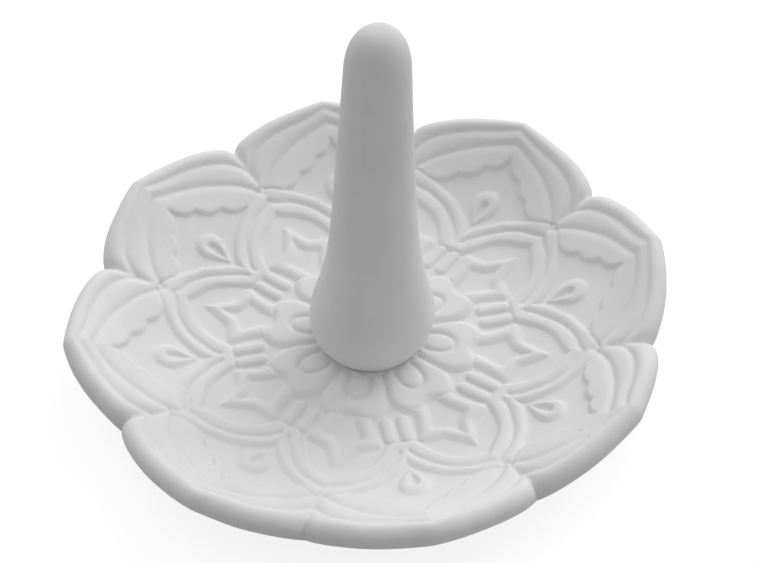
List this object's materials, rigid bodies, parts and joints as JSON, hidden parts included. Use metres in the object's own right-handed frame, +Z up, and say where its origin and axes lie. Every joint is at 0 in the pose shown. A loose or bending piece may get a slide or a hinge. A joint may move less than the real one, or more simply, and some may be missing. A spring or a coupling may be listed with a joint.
{
  "type": "ring dish",
  "caption": "Scalloped round trinket dish with a raised petal pattern in its hollow, a rounded lip and a tapered upright post in the middle that holds finger rings.",
  "frame": {"origin": "centre of the dish's flat foot, on the surface it stands on", "axes": "+Z up from the foot along the dish's axis; +X through one petal's point; +Y through the petal point a quarter turn on; the post leans a little, 18 degrees from +X towards -Y"},
  "size_m": [0.12, 0.12, 0.0829],
  "materials": {
    "bisque": "matte unglazed white, with fine grain and a few pinholes",
    "post_bisque": "matte unglazed white, smoothed",
    "bond": "thin cured adhesive"
  },
  "bodies": {
    "root": {"dish": "bisque", "ring_post": "post_bisque", "bond_layer": "bond"}
  },
  "joints": []
}
